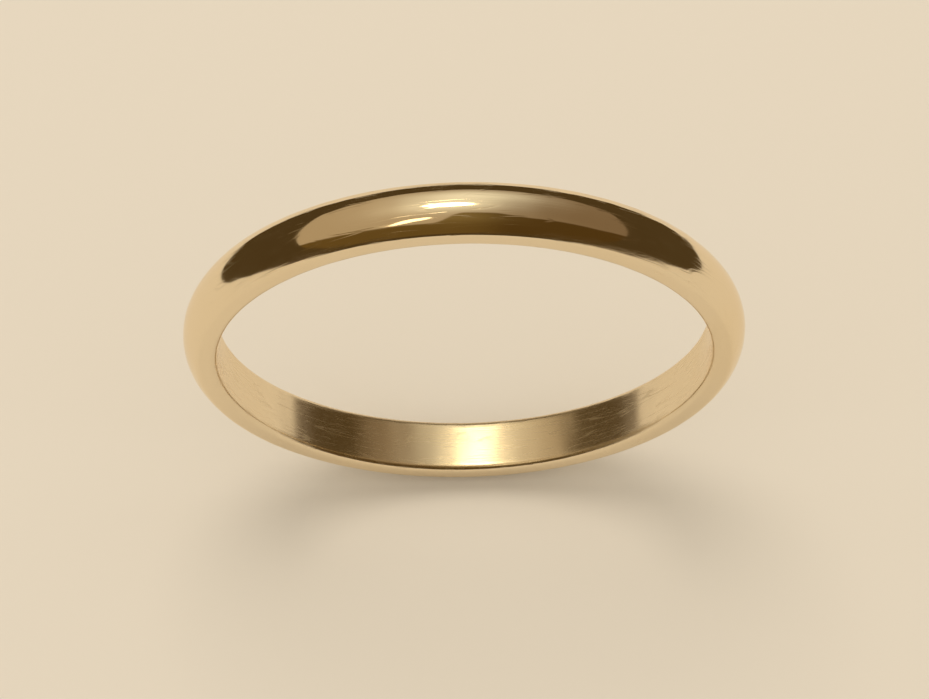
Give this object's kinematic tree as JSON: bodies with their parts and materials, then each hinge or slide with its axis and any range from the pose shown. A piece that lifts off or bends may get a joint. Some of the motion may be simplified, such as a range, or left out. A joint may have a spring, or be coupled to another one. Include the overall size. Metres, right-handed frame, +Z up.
{
  "type": "wedding band",
  "caption": "Plain slim wedding band in polished yellow gold, D-section: flat inside, narrow flat sides, domed outside.",
  "frame": {"origin": "centre of the finger hole, midway between the band's two sides", "axes": "+Y along the finger hole's axis, and +Z up, so the band stands upright on its rim as it does when shown in a ring box"},
  "size_m": [0.0206, 0.002, 0.0206],
  "materials": {
    "yellow_gold": "mirror-polished 14 ct yellow gold"
  },
  "bodies": {
    "root": {"band": "yellow_gold"}
  },
  "joints": []
}
